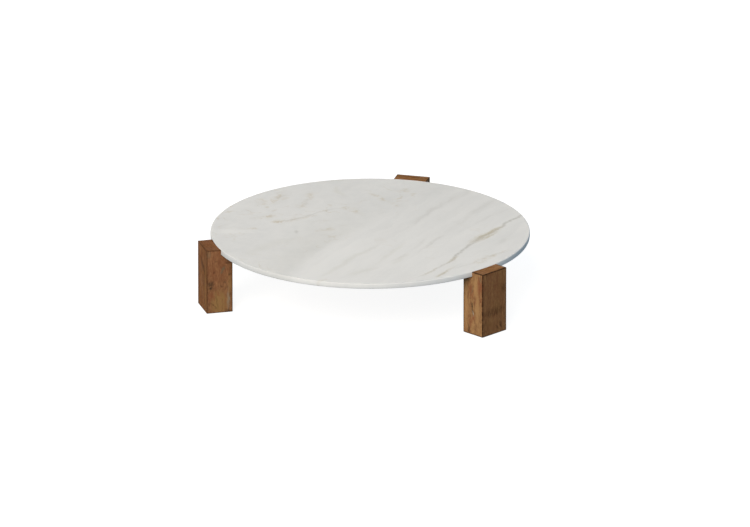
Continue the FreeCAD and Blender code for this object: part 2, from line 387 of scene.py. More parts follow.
def soft_mark_group():
    """A soft-edged lens-shaped mark on a flat place: a knot, stain, streak or spot."""

    def wire(board, place, centre, turn, reach, width, softness):
        x, y, _ = board.split(board.turn(board.vector("SUBTRACT", place, centre), -turn))
        lengthwise = x / reach
        crosswise = y / width
        away = (lengthwise * lengthwise + crosswise * crosswise).root()
        return (away.rise(-softness + 1.0, softness + 1.0, 1.0, 0.0),)

    inputs = {"Place": "Vector", "Centre": "Vector"}
    inputs.update(dict.fromkeys(("Turn", "Reach", "Width", "Softness"), "Float"))
    return shared_group("Soft Mark", inputs, {"Mask": "Float"}, wire)


def grain_group():
    """Timber whose grain runs along z: broad streaks, ring lines, mottled figure and fine pores."""

    def wire(board, place, light, dark, red):
        bent = board.shake(place, (9, 9, 5), (0.03, 0.03, 0.02), 2.0, 0.5)
        streak = board.noise(bent, (60, 60, 4), 3.0, 0.6).rise(0.32, 0.68)
        mottle = board.noise(bent, (150, 150, 48), 4.0, 0.68).rise(0.34, 0.66)
        line = board.noise(bent, (280, 280, 8), 2.0, 0.6).rise(0.46, 0.72)
        pore = board.noise(bent, (950, 950, 45)).rise(0.56, 0.7)
        cloud = board.noise(bent, (22, 22, 12), 3.0, 0.62).rise(0.45, 0.7)
        tone = board.mix(streak * 0.36 + mottle * 0.53, light, dark)
        tone = board.mix(cloud * mottle * 0.8, tone, red)
        tone = board.mix(line * 0.28 + pore * 0.3, tone, dark)
        return tone, -(line * 0.5 + pore * 0.8 + mottle * 0.4), mottle * 0.6 + streak * 0.4

    inputs = {"Place": "Vector", "Light": "Color", "Dark": "Color", "Red": "Color"}
    outputs = {"Colour": "Color", "Height": "Float", "Figure": "Float"}
    return shared_group("Timber Grain", inputs, outputs, wire)


def arris_group():
    """How near a place on a block is to one of the block's edges: 1 on the edge, 0 away from it."""

    def wire(board, place, half, width):
        x, y, z = board.split(board.vector("SUBTRACT", half, board.vector("ABSOLUTE", place)))
        middle = x.smaller(y).larger(x.larger(y).smaller(z))
        ragged = board.noise(place, 90.0, 4.0, 0.65)
        return ((middle / width + ragged).rise(0.6, 1.35, 1.0, 0.0),)

    inputs = {"Place": "Vector", "Half": "Vector", "Width": "Float"}
    return shared_group("Block Arris", inputs, {"Mask": "Float"}, wire)


# Marks on a flat place: the middle of the mark across and up the place, its half length and half width in
# millimetres, its turn from level in degrees, its colour setting, its strength and its softness
Mark = namedtuple("Mark", "across up reach width turn tone strength soft")


def soft_mark(board, place, mark):
    """Where a mark covers a flat place, from 0 to 1."""
    shape = board.use(
        soft_mark_group(),
        Place=place,
        Centre=(mark.across * MILLIMETRE, mark.up * MILLIMETRE, 0.0),
        Turn=math.radians(mark.turn),
        Reach=mark.reach * MILLIMETRE,
        Width=mark.width * MILLIMETRE,
        Softness=mark.soft,
    )
    return shape["Mask"]


def new_finish(name):
    """A new material, the board that wires it and its shader."""
    material = bpy.data.materials.new(name)
    material.use_nodes = True
    return material, Board(material.node_tree), material.node_tree.nodes["Principled BSDF"]


def set_shader(board, shader, height, depth, **sockets):
    """Feeds the shader's sockets by name, and its normal from a height signal and a depth in metres."""
    for key, value in sockets.items():
        board.feed(shader.inputs[key.replace("_", " ")], value)
    normal = board.node("ShaderNodeBump", {"Strength": 1.0, "Distance": depth, "Height": height})
    board.feed(shader.inputs["Normal"], normal)


# Fittings: base colour setting, darkest share, roughness range, grain and smudge scale, bump depth, metal
Fitting = namedtuple("Fitting", "tone dull smooth rough fine broad depth metal")
FITTINGS = {
    "Powder Coat": Fitting("coat", 0.62, 0.42, 0.62, 1400.0, 24.0, 0.00005, 0.0),
    "Zinc Plate": Fitting("zinc", 0.72, 0.22, 0.45, 900.0, 140.0, 0.00001, 1.0),
    "Turned Brass": Fitting("brass", 0.7, 0.25, 0.45, 1200.0, 120.0, 0.00001, 1.0),
    "Silicone": Fitting("silicone", 0.86, 0.5, 0.7, 700.0, 90.0, 0.00002, 0.0),
    "Moulded Plug": Fitting("plug", 0.7, 0.45, 0.65, 1600.0, 60.0, 0.00004, 0.0),
    "Moulded Nylon": Fitting("nylon", 0.66, 0.4, 0.62, 1100.0, 70.0, 0.00004, 0.0),
}


def fitting_finish(name, settings):
    """A moulded, plated or coated finish with fine grain, smudges and a little relief."""
    if name in bpy.data.materials:
        return bpy.data.materials[name]
    recipe = FITTINGS[name]
    material, board, shader = new_finish(name)
    place, _ = board.places()
    speckle = board.use(speckle_group(), Place=place, Fine=recipe.fine, Broad=recipe.broad)
    bright = getattr(settings, recipe.tone)
    worn = speckle["Smudge"] * 0.6 + speckle["Grain"].rise(0.35, 0.7) * 0.4
    set_shader(
        board,
        shader,
        height=speckle["Grain"],
        depth=recipe.depth,
        Base_Color=board.mix(worn, bright, bright * recipe.dull),
        Roughness=speckle["Smudge"].rise(0.0, 1.0, recipe.smooth, recipe.rough),
        Metallic=recipe.metal,
        Specular_IOR_Level=0.2,
    )
    return material


# The line along which the stone's smooth bed, on its left, meets its streaked bed, in millimetres on the disc
BED_LINE = (
    (246, 694), (145, 522), (52, 322), (-21, 127), (-92, -78),
    (-148, -259), (-190, -456), (-208, -626), (-202, -770),
)
# How strong the shade on the line's left and the light on its right are, from one end to the other
SHADE_ALONG = ((0.0, 1.0), (0.4, 0.5), (0.65, 1.0), (1.0, 0.7))
LIGHT_ALONG = ((0.0, 0.4), (0.4, 0.4), (0.7, 1.0), (1.0, 1.0))

# Broad clouds on the disc: a light one at the front and a dark one behind; and a small painted light by the
# left leg, which lifts the shade that the leg casts on the stone's edge beside it
CLOUDS_AND_PAINTED_LIGHT = (
    Mark(160, -620, 620, 420, 11.5, "light", 0.17, 0.7),
    Mark(-100, 600, 700, 400, -5.7, "dark", 0.18, 0.7),
    # Painted light: lifts the shade that the left leg casts on the stone beside it
    Mark(-620, -205, 100, 30, 14.3, "light", 0.25, 0.8),
)

# How the lines of the stone wander: swells per metre and reach in metres of a broad shake and of a finer one
WANDERINGS = {
    "clouds": ((9.0, 0.07), (34.0, 0.035)),
    "veins": ((14.0, 0.04), (90.0, 0.02)),
    "stains": ((16.0, 0.07), (48.0, 0.018)),
    "threads": ((9.0, 0.09), (34.0, 0.018)),
}

# Veins of the stone by kind: the half width of a vein's core and the (x, y, strength) points of its line on
# the disc, with widths and places in millimetres. Round the core a fainter stain spreads, so many times as
# wide, and further round gold than round the other kinds.
VEIN_SPREAD = 1.5
GOLD_SPREAD = 2.1
Vein = namedtuple("Vein", "width points")
VEINS = {
    "grey": (
        # The long vein across the right of the disc, stronger in its middle
        Vein(12, (
            (668, 440, 0.8), (612, 268, 1.0), (585, 140, 0.8), (530, -25, 0.8), (506, -140, 1.0),
            (486, -270, 1.0), (472, -395, 0.7), (425, -530, 0.5), (390, -610, 0.35), (320, -720, 0.0),
        )),
        Vein(16, ((630, 320, 0.0), (572, 118, 0.5), (548, 45, 0.9), (522, -55, 0.9), (500, -150, 0.0))),
        # A short vein beside the right leg
        Vein(14, ((735, -130, 0.0), (675, -200, 0.5), (600, -330, 0.4), (560, -405, 0.4), (505, -450, 0.0))),
        # The vein across the left of the disc
        Vein(12, ((-500, -20, 0.0), (-425, 5, 0.6), (-375, 55, 0.7), (-248, 226, 0.4), (-195, 262, 0.0))),
        # The cores of two gold blotches, and a dark fleck
        Vein(14, ((-515, 380, 0.0), (-545, 325, 0.6), (-562, 280, 0.0))),
        Vein(18, ((-385, 380, 0.0), (-401, 315, 0.4), (-400, 240, 0.4), (-470, 180, 0.0))),
        Vein(15, ((-338, -105, 0.0), (-338, -136, 0.8), (-332, -162, 0.0))),
    ),
    "rust": (
        # Stained stretches of the long vein, and a stain beside its front end
        Vein(27, (
            (640, 330, 0.0), (606, 235, 0.15), (572, 118, 0.9),
            (548, 45, 1.0), (523, -25, 0.8), (492, -125, 0.0),
        )),
        Vein(18, ((604, 135, 0.0), (580, 62, 0.7), (546, -6, 1.0), (514, -85, 0.0))),
        Vein(16, ((496, -270, 0.0), (478, -352, 0.65), (462, -425, 0.3), (428, -525, 0.6), (390, -605, 0.0))),
        Vein(16, ((524, -390, 0.0), (506, -478, 0.5), (488, -545, 0.8), (462, -600, 0.0))),
    ),
    "gold": (
        # Beside the right leg
        Vein(16, ((735, -130, 0.0), (680, -185, 0.6), (630, -275, 0.9), (598, -332, 0.6), (530, -435, 0.0))),
        Vein(16, ((660, -240, 0.0), (625, -325, 0.6), (590, -385, 0.6), (570, -420, 0.0))),
        # The two ends of the left vein
        Vein(20, ((-505, -22, 0.0), (-460, -16, 1.0), (-424, 6, 0.9), (-360, 70, 0.6), (-300, 150, 0.0))),
        Vein(22, ((-230, 262, 0.0), (-178, 250, 0.9), (-140, 225, 0.8), (-112, 200, 0.5), (-70, 170, 0.0))),
        # Blotches of the smooth bed
        Vein(28, ((-545, 455, 0.0), (-545, 365, 0.7), (-550, 310, 0.9), (-552, 220, 0.0))),
        Vein(24, ((-650, 305, 0.0), (-615, 260, 0.6), (-580, 205, 0.6), (-560, 180, 0.0))),
        Vein(24, ((-400, 460, 0.0), (-410, 390, 0.7), (-400, 320, 0.4), (-410, 225, 0.7), (-420, 185, 0.0))),
        Vein(22, ((-195, 550, 0.0), (-130, 490, 0.5), (-80, 440, 0.8), (-30, 400, 0.0))),
        Vein(22, ((-30, 385, 0.0), (12, 362, 0.7), (60, 325, 0.0))),
        Vein(24, ((-460, 95, 0.0), (-515, 45, 0.8), (-555, 10, 0.6), (-610, -25, 0.0))),
        Vein(20, ((-512, -125, 0.0), (-548, -139, 0.7), (-590, -151, 0.5), (-650, -155, 0.0))),
        Vein(24, ((-258, -105, 0.0), (-222, -80, 0.7), (-200, -62, 0.7), (-165, -33, 0.0))),
        Vein(16, ((-665, -310, 0.0), (-615, -250, 0.4), (-555, -205, 0.0))),
        Vein(18, ((-80, -790, 0.0), (-44, -772, 0.6), (-5, -755, 0.0))),
        Vein(16, ((-495, -505, 0.0), (-455, -500, 0.4), (-405, -495, 0.0))),
    ),
    "smoke": (
        # Shadows in the streaked bed
        Vein(34, ((345, 690, 0.0), (292, 600, 0.6), (240, 430, 0.6), (205, 300, 0.6), (172, 0, 0.0))),
        Vein(14, ((320, 640, 0.0), (285, 575, 0.8), (232, 400, 0.4), (198, 250, 0.7), (182, 90, 0.0))),
        Vein(30, ((525, 660, 0.0), (440, 465, 0.5), (405, 320, 0.45), (380, 150, 0.4), (345, -40, 0.0))),
        Vein(22, ((600, 480, 0.0), (510, 330, 0.35), (440, 130, 0.3), (410, 0, 0.0))),
        Vein(14, ((355, 0, 0.0), (332, -105, 0.8), (305, -255, 0.4), (275, -430, 0.0))),
        Vein(18, ((285, -40, 0.0), (280, -145, 0.4), (250, -310, 0.4), (218, -400, 0.4), (150, -570, 0.0))),
        Vein(30, ((690, 120, 0.0), (640, -40, 0.4), (590, -200, 0.35), (550, -290, 0.0))),
    ),
    "olive": (
        # Streaks at the front of the streaked bed
        Vein(24, ((95, -170, 0.0), (60, -320, 0.5), (25, -390, 0.6), (-20, -600, 0.5), (-75, -780, 0.0))),
        Vein(20, ((205, -140, 0.0), (190, -245, 0.5), (172, -350, 0.5), (140, -545, 0.0))),
        Vein(30, ((258, -290, 0.0), (240, -395, 0.5), (230, -480, 0.0))),
        Vein(40, ((165, -520, 0.0), (110, -610, 0.5), (45, -700, 0.0))),
        # Streaks in the smooth bed
        Vein(24, ((-320, 555, 0.0), (-305, 495, 0.6), (-270, 445, 0.5), (-220, 415, 0.0))),
        Vein(75, (
            (-175, -110, 0.0), (-285, -220, 0.3), (-375, -305, 0.4),
            (-440, -420, 0.4), (-500, -560, 0.0),
        )),
    ),
}


def beside(board, place, points):
    """How far along a line through points a place lies, from 0 to 1, and how far to its left, in metres.

    The steps say how far along the line the points themselves lie.
    """
    points = [Vector((x, y, 0)) * MILLIMETRE for x, y, *_ in points]
    run = points[-1] - points[0]
    across = Vector((-run.y, run.x, 0)) / run.length
    lengthwise = run / run.length_squared
    steps = [(point - points[0]).dot(lengthwise) for point in points]
    offsets = [(point - points[0]).dot(across) for point in points]
    swing = max(abs(offset) for offset in offsets) * 2 + MILLIMETRE
    here = board.along(place, lengthwise) - points[0].dot(lengthwise)
    line = board.curve(here, [(step, 0.5 + offset / swing) for step, offset in zip(steps, offsets)])
    side = board.along(place, across) - points[0].dot(across) - (line - 0.5) * swing
    return here, side, steps


def vein_mask(board, place, vein, spread):
    """A vein follows its points in a smooth line, and widens with its strength."""
    here, side, steps = beside(board, place, vein.points)
    strength = board.curve(here, [(step, point[2]) for step, point in zip(steps, vein.points)])
    reach = (strength * 0.7 + 0.3) * (vein.width * spread * MILLIMETRE)
    return (abs(side) / reach).rise(0.0, 1.0, 1.0, 0.0) * strength


def cored(mask, core, stain):
    """A vein's mask with its core at one strength and the stain round it at another."""
    return mask * (mask * core + stain)


def wandering(board, place, kind):
    """Places on the disc shaken sideways, first broadly and then more finely."""
    for scale, reach in WANDERINGS[kind]:
        place = board.use(shake_group(), Place=place, Scale=scale, Reach=(reach, reach, 0))["Place"]
    return place


def stone_clouds(board, flat, settings):
    """How dark the ground of the stone is over its two beds, how olive and how smooth, from 0 to 1."""
    bent = wandering(board, flat, "clouds")
    bed = board.turn(bent, -settings.bedding)
    broad = board.noise(bed, (2.2, 6.0, 1), 3.0).rise(0.3, 0.7)
    layers = board.noise(bed, (1.6, 5.0, 1), 4.0, 0.55) * 2.4 + board.split(bed)[1] * 8.0
    saw = layers.fraction()
    feather = saw.rise(0.0, 0.14) * (-saw + 1.0) * board.noise(bed, 4.0).rise(0.35, 0.65, 0.3, 1.0)
    hair = board.noise(bed, (5.0, 38.0, 1), 4.0, 0.6).rise(0.38, 0.7)
    patch = board.noise(bent, 16.0, 5.0, 0.65).rise(0.35, 0.68)
    here, side, _ = beside(board, bent, BED_LINE)
    streaked = side.rise(-0.03, 0.055)
    smooth = -streaked + 1.0
    dusk = side.rise(-0.34, 0.0) * smooth * board.curve(here, SHADE_ALONG)
    pale = side.rise(0.03, 0.3, 1.0, 0.0) * streaked * board.curve(here, LIGHT_ALONG)
    figure = broad * 0.14 + (feather * 0.18 + hair * 0.1) * streaked + (patch * 0.17 + hair * 0.05) * smooth
    darkness = figure + dusk * 0.18 - pale * 0.14 + 0.17
    # The last of these is painted light by the left leg, not a cloud of the stone
    for cloud in CLOUDS_AND_PAINTED_LIGHT:
        sign = 1 if cloud.tone == "dark" else -1
        darkness = darkness + soft_mark(board, bent, cloud) * (cloud.strength * sign)
    return darkness, dusk * here.rise(0.2, 0.6), smooth


def stone_veins(board, flat, tone, olive, smooth, settings):
    """The ground's tone with its streaks, shadowy veins, rust, gold stains and fine gold threads."""
    flowing = wandering(board, flat, "veins")
    torn = wandering(board, flat, "stains")
    winding = wandering(board, flat, "threads")
    masks = {}
    for kind, veins in VEINS.items():
        place = torn if kind == "gold" else flowing
        spread = GOLD_SPREAD if kind == "gold" else VEIN_SPREAD
        masks[kind] = reduce(Signal.larger, [vein_mask(board, place, vein, spread) for vein in veins])

    tone = board.mix((masks["olive"] * 0.45).larger(olive * 0.15), tone, settings.olive)
    drawn = board.turn(flowing, -settings.bedding)
    wisps = board.noise(drawn, (6.0, 20.0, 1), 4.0, 0.6).rise(0.38, 0.64, 0.2, 1.0)
    tone = board.mix(masks["smoke"] * wisps * 0.34, tone, settings.grey)
    breaks = board.noise(flat, 60.0, 4.0, 0.7).rise(0.38, 0.62)
    tone = board.mix(cored(masks["grey"], breaks * 0.3 + 0.3, 0.2) * 0.8, tone, settings.grey)
    streaks = board.noise(drawn, (5.0, 48.0, 1), 3.0, 0.55).rise(0.4, 0.6, 0.5, 1.2)
    tone = board.mix(cored(masks["rust"], breaks * 0.4 + 0.3, 0.2) * streaks, tone, settings.rust)

    blots = board.noise(flat, 24.0, 3.0, 0.6).rise(0.38, 0.6, 0.25, 1.0)
    veil = abs(board.noise(winding, 22.0, 3.0, 0.6) - 0.5).rise(0.01, 0.09, 1.0, 0.2)
    stain = cored(masks["gold"], 0.6, 0.3) * blots * veil
    thread = abs(board.noise(winding, 6.0) - 0.5).rise(0.0, 0.022, 1.0, 0.0)
    strewn = board.noise(flat, 3.1).rise(0.44, 0.62) * board.noise(flat, 17.0).rise(0.42, 0.6)
    threads = thread * strewn * (smooth * 0.75 + 0.25)
    return board.mix((stain * 0.74).larger(threads * 0.34), tone, settings.gold)


def stone_underside(board, place, normal, settings):
    """Where the sawn underside is and where the net in its resin shows, from 0 to 1."""
    below = board.split(normal)[2].rise(-0.6, -0.8)
    x, y, _ = board.split(board.stretch(place, (1 / settings.net_pitch,) * 3))
    strands = [abs(line.fraction() - 0.5).rise(0.34, 0.46) for line in (x, y)]
    return below, strands[0].larger(strands[1]) * below


def stone_finish(settings):
    """Pale honed stone: a smooth bed and a streaked one, shadowy veins and rusty stains."""
    material, board, shader = new_finish("Honed Stone")
    place, normal = board.places()
    flat = board.stretch(place, (1, 1, 0))
    darkness, olive, smooth = stone_clouds(board, flat, settings)
    tone = board.mix(darkness, settings.light, settings.dark)
    tone = stone_veins(board, flat, tone, olive, smooth, settings)
    below, net = stone_underside(board, place, normal, settings)
    tone = board.mix(below * 0.85, tone, settings.backing)
    tone = board.mix(net * 0.2, tone, settings.light)
    speckle = board.use(speckle_group(), Place=place, Fine=900.0, Broad=14.0)
    set_shader(
        board,
        shader,
        height=speckle["Grain"] * 0.2 + net,
        depth=0.00006,
        Base_Color=tone,
        Roughness=speckle["Smudge"].rise(0.0, 1.0, 0.42, 0.52) + below * 0.3,
        Specular_IOR_Level=0.01,
    )
    return material


# Marks on the faces of each leg
MARKS = {
    "left": {
        "x-": (
            Mark(8, 240, 95, 60, 90, "russet", 0.35, 0.4),
            Mark(2, 52, 56, 38, 90, "straw", 0.7, 0.4),
            Mark(40, 90, 18, 4, 8, "russet", 0.7, 0.7),
            Mark(27, 77, 11, 3.5, 95, "russet", 0.6, 0.7),
            Mark(52, 72, 12, 4, 60, "russet", 0.6, 0.7),
            Mark(6, 96, 16, 5, 60, "russet", 0.5, 0.8),
            Mark(-27, 60, 40, 3.5, 92, "russet", 0.4, 0.8),
            Mark(40, 92, 26, 11, 90, "russet", 0.3, 0.6),
            Mark(-18, 223, 11, 7, 110, "ash", 0.6, 0.8),
            Mark(-9, 205, 9, 5, 125, "ash", 0.6, 0.8),
            Mark(-43, 62, 54, 9, 90, "ash", 0.3, 0.5),
            Mark(-42, 68, 44, 7, 90, "putty", 0.26, 0.6),
            Mark(43, 151, 14, 11, 20, "soot", 0.5, 0.8),
            Mark(46, 131, 6, 6, 0, "soot", 0.8, 0.7),
            Mark(30, 39, 26, 3.5, 50, "umber", 0.35, 0.6),
            Mark(46, 74, 22, 4, 105, "russet", 0.5, 0.6),
            Mark(14, 60, 40, 3.5, 80, "umber", 0.25, 0.6),
            Mark(-12, 40, 34, 3.5, 95, "umber", 0.25, 0.6),
            Mark(-27, 150, 11, 4, 50, "soot", 0.5, 0.7),
            Mark(-13, 134, 6, 5, 0, "umber", 0.5, 0.7),
            Mark(17, 260, 5, 4, 0, "umber", 0.5, 0.7),
            Mark(-37, 253, 6, 5, 0, "umber", 0.5, 0.7),
            Mark(27, 209, 5, 4, 0, "umber", 0.5, 0.7),
            Mark(-50, 193, 6, 4, 0, "umber", 0.5, 0.7),
            Mark(54, 300, 14, 9, 90, "ash", 0.45, 0.8),
            Mark(-42, 8, 14, 5, 0, "soot", 0.45, 0.7),
            Mark(-50, 140, 40, 8, 90, "straw", 0.4, 0.7),
        ),
        "y+": (
            Mark(-11, 225, 50, 15, 35, "umber", 0.5, 0.7),
            Mark(-55, 120, 110, 12, 90, "straw", 0.45, 0.7),
            Mark(70, 170, 120, 16, 90, "umber", 0.4, 0.7),
            Mark(20, 60, 60, 12, 92, "russet", 0.4, 0.7),
        ),
    },
    "right": {
        "x+": (
            Mark(45, 256, 48, 19, 84, "russet", 0.8, 0.6),
            Mark(-10, 222, 36, 13, 100, "russet", 0.65, 0.7),
            Mark(3, 86, 15, 9, 70, "russet", 0.9, 0.7),
            Mark(-15, 66, 20, 9, 80, "russet", 0.75, 0.7),
            Mark(-38, 270, 26, 14, 90, "russet", 0.35, 0.7),
            Mark(-5, 225, 19, 4, 70, "ash", 0.6, 0.7),
            Mark(-5, 134, 30, 4, 100, "soot", 0.85, 0.6),
            Mark(0, 110, 16, 3, 102, "putty", 0.7, 0.6),
            Mark(-26, 27, 19, 4.5, 90, "soot", 0.95, 0.5),
            Mark(50, 292, 12, 5, 90, "ash", 0.5, 0.7),
            Mark(30, 150, 110, 10, 92, "honey", 0.6, 0.7),
            Mark(14, 250, 50, 9, 88, "honey", 0.7, 0.7),
            Mark(-46, 150, 120, 9, 90, "honey", 0.6, 0.7),
        ),
        "y+": (
            Mark(0, 160, 190, 80, 90, "brown", 0.3, 0.2),
            Mark(0, 116, 62, 16, -2, "umber", 0.4, 0.9),
            Mark(-60, 222, 18, 11, 90, "umber", 0.5, 0.8),
            Mark(-8, 147, 34, 24, 10, "straw", 0.3, 0.8),
            Mark(30, 66, 30, 20, 0, "straw", 0.25, 0.8),
            Mark(-40, 46, 17, 6, 62, "umber", 0.55, 0.8),
            Mark(-22, 31, 15, 5, 50, "umber", 0.5, 0.8),
            Mark(-45, 270, 70, 20, 90, "straw", 0.25, 0.8),
        ),
    },
    "back": {
        "top": (
            Mark(15, 38, 60, 6, 2, "umber", 0.4, 0.8),
            Mark(-30, 50, 45, 5, -3, "russet", 0.5, 0.8),
        ),
        "y+": (
            Mark(22, 190, 15, 11, 80, "soot", 0.6, 0.8),
            Mark(-34, 96, 60, 14, 90, "russet", 0.45, 0.7),
        ),
        "x+": (
            Mark(18, 236, 40, 10, 86, "umber", 0.4, 0.7),
            # Painted shade: a dark band just under the top of the back leg's x+ face, beside the stone, where
            # that face lies in shade
            Mark(8, 300, 38, 12, 0, "soot", 1.0, 0.4),
        ),
        "x-": (Mark(-12, 120, 13, 9, 70, "soot", 0.6, 0.8),),
    },
}

# Cracks carved into a face of a leg: half width, depth and points across and up the face, in millimetres
Crack = namedtuple("Crack", "width depth points")
CRACKS = {
    "left": {
        "x-": (Crack(0.8, 1.1, ((46, 58), (38, 50), (30, 41), (22, 33), (15, 21))),),
        "y-": (Crack(1.2, 1.8, ((20, 190), (17, 160), (21, 120), (18, 96))),),
    },
    "right": {
        "x+": (
            Crack(1.8, 2.2, ((-10, 161), (-8, 146), (-5, 132), (-3, 116), (2, 98))),
            Crack(1.4, 1.8, ((-27, 44), (-26, 30), (-27, 12))),
        ),
        "x-": (Crack(1.4, 2.0, ((24, 240), (20, 205), (25, 170), (23, 150))),),
    },
    "back": {
        "y+": (Crack(1.6, 2.0, ((24, 170), (19, 142), (22, 116), (17, 92))),),
        "x+": (Crack(1.2, 1.6, ((-30, 60), (-28, 42), (-31, 20))),),
    },
}

# The pale and dark colours of each leg's grain, and the tints that darken some of its faces: on the tops the
# darker end grain, and on the outer y+ faces the wood's own darker tone together with painted shade for the
# side that the key light barely reaches
LEG_TONES = {
    "back": ("honey", "bark", {"top": (0.705, 0.585, 0.41)}),
    "left": ("brown", "peat", {"y+": (0.885, 0.8, 0.66), "top": (0.72, 0.6, 0.47)}),
    "right": ("honey", "bark", {"y+": (0.755, 0.69, 0.66), "top": (0.75, 0.63, 0.5)}),
}
# How dark the edges of each leg are, and how wide in metres
ARRIS_DARKNESS = {"back": 0.8, "left": 0.65, "right": 1.0}
ARRIS_WIDTH = 0.009
# Where each leg and each of its faces lies in the log, in metres, so that no two show the same board
LEG_CUTS = {"back": 1.3, "left": 5.0, "right": 8.7}
FACE_CUTS = {"x+": 0.71, "x-": 1.37, "y+": 2.11, "y-": 2.93, "top": 4.3, "bottom": 4.3}
FACE_NORMALS = {
    "x+": Vector((1, 0, 0)),
    "x-": Vector((-1, 0, 0)),
    "y+": Vector((0, 1, 0)),
    "y-": Vector((0, -1, 0)),
    "top": Vector((0, 0, 1)),
    "bottom": Vector((0, 0, -1)),
}


def face_axes(face):
    """The two axes of a leg that run across and up one of its faces."""
    return [axis for axis in range(3) if FACE_NORMALS[face][axis] == 0]


def face_place(face, across, up):
    """A place on a face of a leg, in the leg's own coordinates, from millimetres across and up the face."""
    place = Vector(way * half for way, half in zip(FACE_NORMALS[face], leg_half))
    place.z += leg_centre.z
    for axis, distance in zip(face_axes(face), (across, up)):
        place[axis] = distance * MILLIMETRE
    return place


def timber_boards(board, side, place, masks):
    """Places in the log: a board of its own for each face of a leg, with the grain of the ends along x."""
    x, y, z = board.split(place)
    face_cut = reduce(Signal.__add__, [masks[face] * cut for face, cut in FACE_CUTS.items()])
    upright = board.join(x + face_cut, y + LEG_CUTS[side], z)
    lying = board.join(z + LEG_CUTS[side], y + face_cut, x)
    return board.mix(masks["top"].larger(masks["bottom"]), upright, lying)


def timber_finish(side, settings):
    """Oiled rustic timber. Each face of a leg shows a board of its own, with its own knots and stains."""
    material, board, shader = new_finish(f"Rustic Timber {side.title()}")
    place, normal = board.places()
    masks = {face: board.along(normal, way).rise(0.6, 0.8) for face, way in FACE_NORMALS.items()}
    pale, deep, shade_and_end_grain_tints = LEG_TONES[side]
    grain = board.use(
        grain_group(),
        Place=timber_boards(board, side, place, masks),
        Light=getattr(settings, pale),
        Dark=getattr(settings, deep),
        Red=settings.russet,
    )
    tone = grain["Colour"]

    shaken = board.use(shake_group(), Place=place, Scale=42.0, Reach=(0.026, 0.026, 0.034))
    torn = board.split(shaken["Place"])
    broken = grain["Figure"].rise(0.15, 0.75, 0.65, 1.2)
    for face, marks in MARKS[side].items():
        first, second = face_axes(face)
        spot = board.join(torn[first], torn[second], 0.0)
        for mark in marks:
            cover = soft_mark(board, spot, mark) * masks[face] * broken * mark.strength
            tone = board.mix(cover, tone, getattr(settings, mark.tone))
    # On the outer y+ faces these tints are partly painted shade; on the tops they darken the end grain
    for face, shade_and_end_grain_tint in shade_and_end_grain_tints.items():
        tone = board.mix(masks[face], tone, board.mix(1.0, tone, shade_and_end_grain_tint, blend_type="MULTIPLY"))

    centred = board.move(place, (0, 0, -leg_centre.z))
    arris = board.use(arris_group(), Place=centred, Half=leg_half, Width=ARRIS_WIDTH)
    tone = board.mix(arris["Mask"] * ARRIS_DARKNESS[side], tone, settings.umber)
    speckle = board.use(speckle_group(), Place=place, Fine=500.0, Broad=18.0)
    set_shader(
        board,
        shader,
        height=grain["Height"] + speckle["Grain"] * 0.3,
        depth=0.0003,
        Base_Color=tone,
        Roughness=speckle["Smudge"].rise(0.0, 1.0, 0.58, 0.72),
        Specular_IOR_Level=0.015,
    )
    return material


def new_piece(name, shape, material=None):
    """Links a shape as a piece, shaded smooth except over its sharper edges."""
    bmesh.ops.recalc_face_normals(shape, faces=shape.faces)
    mesh = bpy.data.meshes.new(name)
    shape.to_mesh(mesh)
    shape.free()
    piece = bpy.data.objects.new(name, mesh)
    bpy.context.scene.collection.objects.link(piece)
    sharpen(mesh, SMOOTH_BELOW)
    if material:
        mesh.materials.append(material)
    return piece


def sharpen(mesh, smooth_below):
    """Shades a mesh smooth, with hard edges where its faces meet at more than an angle in degrees."""
    shape = bmesh.new()
    shape.from_mesh(mesh)
    for face in shape.faces:
        face.smooth = True
    for edge in shape.edges:
        edge.smooth = edge.calc_face_angle(math.pi) < math.radians(smooth_below)
    shape.to_mesh(mesh)
    shape.free()


def settle(piece, body, slot, *nodes):
    """Ties a piece to its body, in place of the solids that it stands for, which it hides."""
    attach(piece, body)
    if nodes:
        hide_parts(*nodes)


def each_side(*names):
    """The nodes with these names on all three legs."""
    return [f"{name}_{side}" for name in names for side in SIDES]


def dress(nodes, material, edge=0.0):
    """Gives solids of the frame their finish, and eases their sharp edges."""
    for node in nodes:
        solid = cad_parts[node]
        solid.data.materials.clear()
        solid.data.materials.append(material)
        if edge:
            ease = solid.modifiers.new("Eased edges", "BEVEL")
            ease.width = edge
            ease.segments = 2
            ease.limit_method = "ANGLE"
            ease.angle_limit = math.radians(EASED_ABOVE)
            ease.harden_normals = True


def turns(count, start=0.0):
    """Angles spaced evenly round a circle."""
    return [start + 2 * math.pi * k / count for k in range(count)]


def arc(across, up, radius, start, end, steps):
    """Points (across, up) along an arc about a centre, from a start angle to an end angle."""
    angles = [start + (end - start) * k / steps for k in range(steps + 1)]
    return [(across + radius * math.cos(a), up + radius * math.sin(a)) for a in angles]


def cradle(half_width, floor, top, corner, steps):
    """An upright U of points: down its left side, round its two corners and up its right side."""
    right = arc(half_width - corner, floor + corner, corner, -math.pi / 2, 0.0, steps) + [(half_width, top)]
    left = [(-x, z) for x, z in reversed(right)]
    return [Vector((x, 0, z)) for x, z in left + right]


def ring(shape, radius, z, sides):
    """A level ring of points about the z axis, or one point on the axis."""
    if radius == 0:
        return [shape.verts.new((0, 0, z))]
    return [shape.verts.new((radius * math.cos(turn), radius * math.sin(turn), z)) for turn in turns(sides)]


def oval(shape, middle, first, second, sides):
    """A ring of points about a middle, with two half axes."""
    offsets = [first * math.cos(turn) + second * math.sin(turn) for turn in turns(sides)]
    return [shape.verts.new(middle + offset) for offset in offsets]


